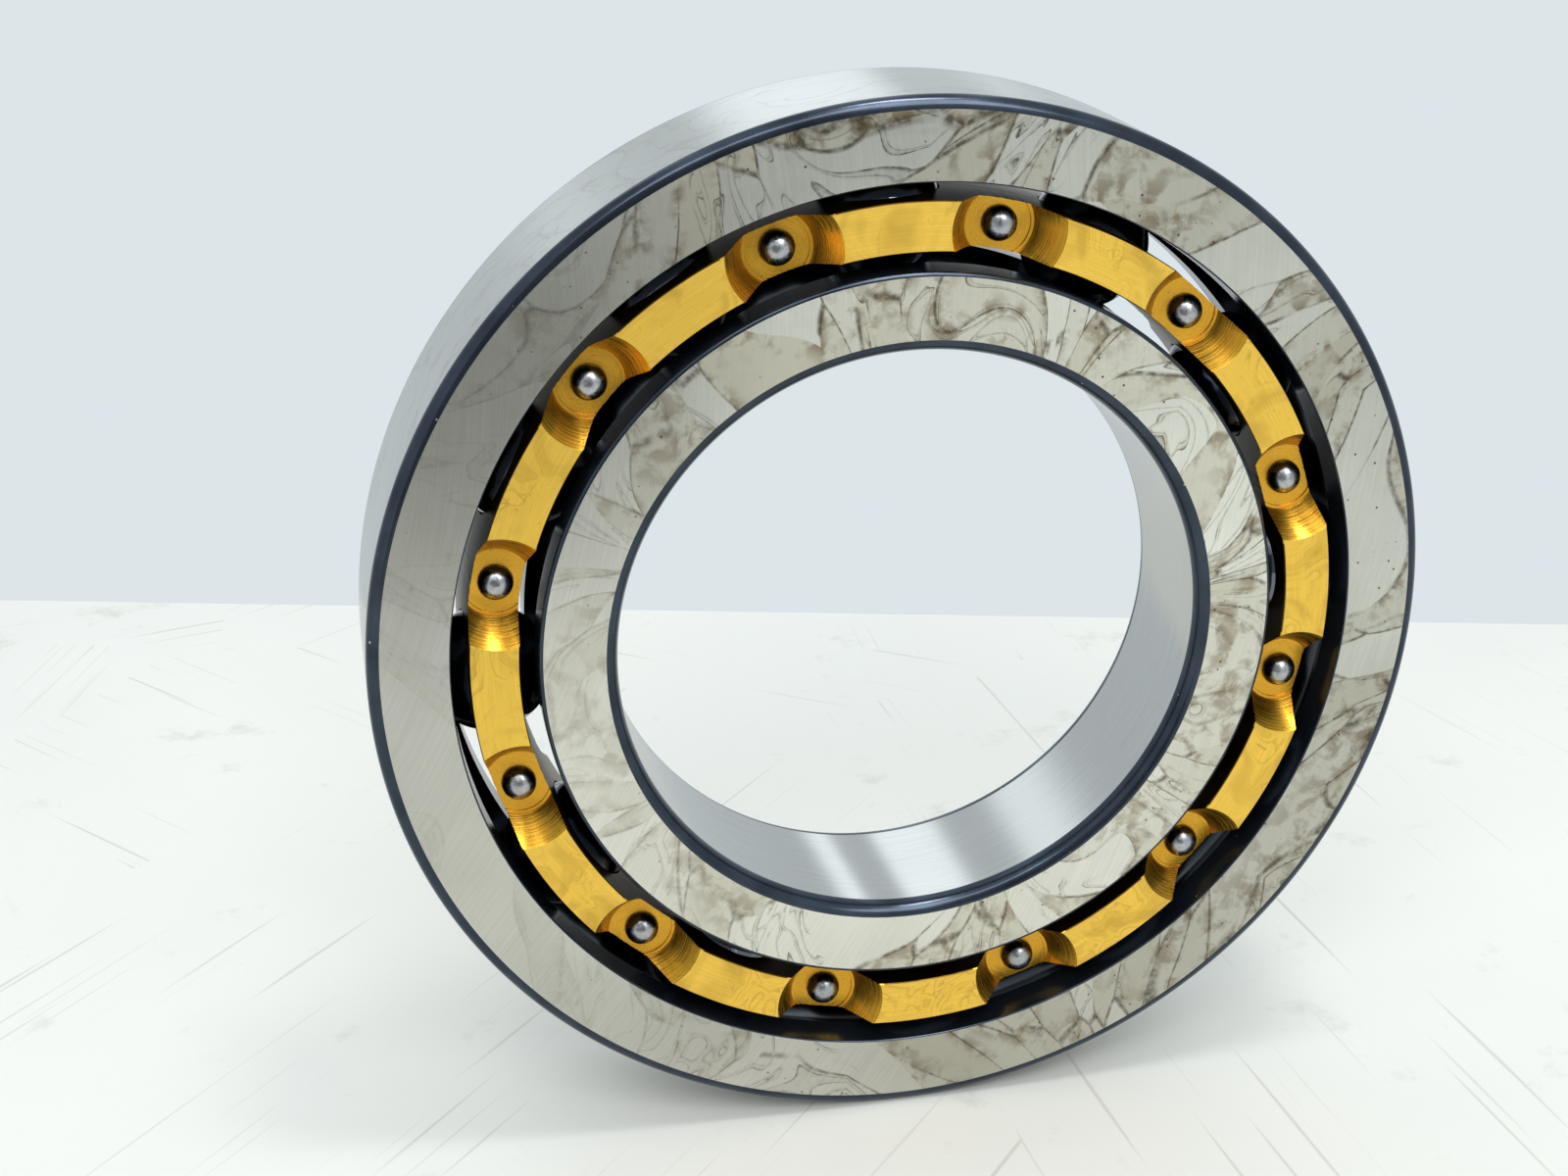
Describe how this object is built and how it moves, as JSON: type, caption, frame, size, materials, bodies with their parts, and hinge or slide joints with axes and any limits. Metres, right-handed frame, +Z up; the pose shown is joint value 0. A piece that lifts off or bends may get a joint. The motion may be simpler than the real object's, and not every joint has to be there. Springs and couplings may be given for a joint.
{
  "type": "deep groove ball bearing",
  "caption": "Deep groove ball bearing with a riveted machined brass cage, which carries a turning shaft in a housing.",
  "frame": {"origin": "centre of the bearing: on the axis of rotation, half way between the side faces", "axes": "+Y along the axis of rotation, from the front side face (-Y) to the back side face; +Z up, with the bearing standing on its rim"},
  "size_m": [0.29, 0.048, 0.29],
  "materials": {
    "ring_steel": "ground and hardened bearing steel with faint oil stains, corners and shoulders blue-black",
    "cage_brass": "turned and milled brass, satin, slightly tarnished",
    "ball_steel": "lapped and polished hardened bearing steel",
    "rivet_steel": "upset steel rivet heads, smooth and slightly dark"
  },
  "bodies": {
    "outer_ring": {"outer_ring": "ring_steel"},
    "inner_ring": {"inner_ring": "ring_steel"},
    "cage": {"cage_front": "cage_brass", "cage_back": "cage_brass", "rivet_01": "rivet_steel", "rivet_02": "rivet_steel", "rivet_03": "rivet_steel", "rivet_04": "rivet_steel", "rivet_05": "rivet_steel", "rivet_06": "rivet_steel", "rivet_07": "rivet_steel", "rivet_08": "rivet_steel", "rivet_09": "rivet_steel", "rivet_10": "rivet_steel", "rivet_11": "rivet_steel", "rivet_12": "rivet_steel"},
    "ball_01": {"ball_01": "ball_steel"},
    "ball_02": {"ball_02": "ball_steel"},
    "ball_03": {"ball_03": "ball_steel"},
    "ball_04": {"ball_04": "ball_steel"},
    "ball_05": {"ball_05": "ball_steel"},
    "ball_06": {"ball_06": "ball_steel"},
    "ball_07": {"ball_07": "ball_steel"},
    "ball_08": {"ball_08": "ball_steel"},
    "ball_09": {"ball_09": "ball_steel"},
    "ball_10": {"ball_10": "ball_steel"},
    "ball_11": {"ball_11": "ball_steel"},
    "ball_12": {"ball_12": "ball_steel"}
  },
  "joints": [
    {"name": "inner_ring_spin", "type": "hinge", "parent": "outer_ring", "child": "inner_ring", "pos_m": [0, 0, 0], "axis": [0, 1, 0], "continuous": true},
    {"name": "cage_orbit", "type": "hinge", "parent": "outer_ring", "child": "cage", "pos_m": [0, 0, 0], "axis": [0, 1, 0], "continuous": true},
    {"name": "ball_01_roll", "type": "hinge", "parent": "cage", "child": "ball_01", "pos_m": [0.11229, 0, 0.00687], "axis": [0, 1, 0], "continuous": true},
    {"name": "ball_02_roll", "type": "hinge", "parent": "cage", "child": "ball_02", "pos_m": [0.09381, 0, 0.06209], "axis": [0, 1, 0], "continuous": true},
    {"name": "ball_03_roll", "type": "hinge", "parent": "cage", "child": "ball_03", "pos_m": [0.0502, 0, 0.10068], "axis": [0, 1, 0], "continuous": true},
    {"name": "ball_04_roll", "type": "hinge", "parent": "cage", "child": "ball_04", "pos_m": [-0.00687, 0, 0.11229], "axis": [0, 1, 0], "continuous": true},
    {"name": "ball_05_roll", "type": "hinge", "parent": "cage", "child": "ball_05", "pos_m": [-0.06209, 0, 0.09381], "axis": [0, 1, 0], "continuous": true},
    {"name": "ball_06_roll", "type": "hinge", "parent": "cage", "child": "ball_06", "pos_m": [-0.10068, 0, 0.0502], "axis": [0, 1, 0], "continuous": true},
    {"name": "ball_07_roll", "type": "hinge", "parent": "cage", "child": "ball_07", "pos_m": [-0.11229, 0, -0.00687], "axis": [0, 1, 0], "continuous": true},
    {"name": "ball_08_roll", "type": "hinge", "parent": "cage", "child": "ball_08", "pos_m": [-0.09381, 0, -0.06209], "axis": [0, 1, 0], "continuous": true},
    {"name": "ball_09_roll", "type": "hinge", "parent": "cage", "child": "ball_09", "pos_m": [-0.0502, 0, -0.10068], "axis": [0, 1, 0], "continuous": true},
    {"name": "ball_10_roll", "type": "hinge", "parent": "cage", "child": "ball_10", "pos_m": [0.00687, 0, -0.11229], "axis": [0, 1, 0], "continuous": true},
    {"name": "ball_11_roll", "type": "hinge", "parent": "cage", "child": "ball_11", "pos_m": [0.06209, 0, -0.09381], "axis": [0, 1, 0], "continuous": true},
    {"name": "ball_12_roll", "type": "hinge", "parent": "cage", "child": "ball_12", "pos_m": [0.10068, 0, -0.0502], "axis": [0, 1, 0], "continuous": true}
  ],
  "couplings": [
    {"joint": "cage_orbit", "follows": "inner_ring_spin", "ratio": 0.42444},
    {"joint": "ball_01_roll", "follows": "inner_ring_spin", "ratio": -3.2333},
    {"joint": "ball_02_roll", "follows": "inner_ring_spin", "ratio": -3.2333},
    {"joint": "ball_03_roll", "follows": "inner_ring_spin", "ratio": -3.2333},
    {"joint": "ball_04_roll", "follows": "inner_ring_spin", "ratio": -3.2333},
    {"joint": "ball_05_roll", "follows": "inner_ring_spin", "ratio": -3.2333},
    {"joint": "ball_06_roll", "follows": "inner_ring_spin", "ratio": -3.2333},
    {"joint": "ball_07_roll", "follows": "inner_ring_spin", "ratio": -3.2333},
    {"joint": "ball_08_roll", "follows": "inner_ring_spin", "ratio": -3.2333},
    {"joint": "ball_09_roll", "follows": "inner_ring_spin", "ratio": -3.2333},
    {"joint": "ball_10_roll", "follows": "inner_ring_spin", "ratio": -3.2333},
    {"joint": "ball_11_roll", "follows": "inner_ring_spin", "ratio": -3.2333},
    {"joint": "ball_12_roll", "follows": "inner_ring_spin", "ratio": -3.2333}
  ]
}
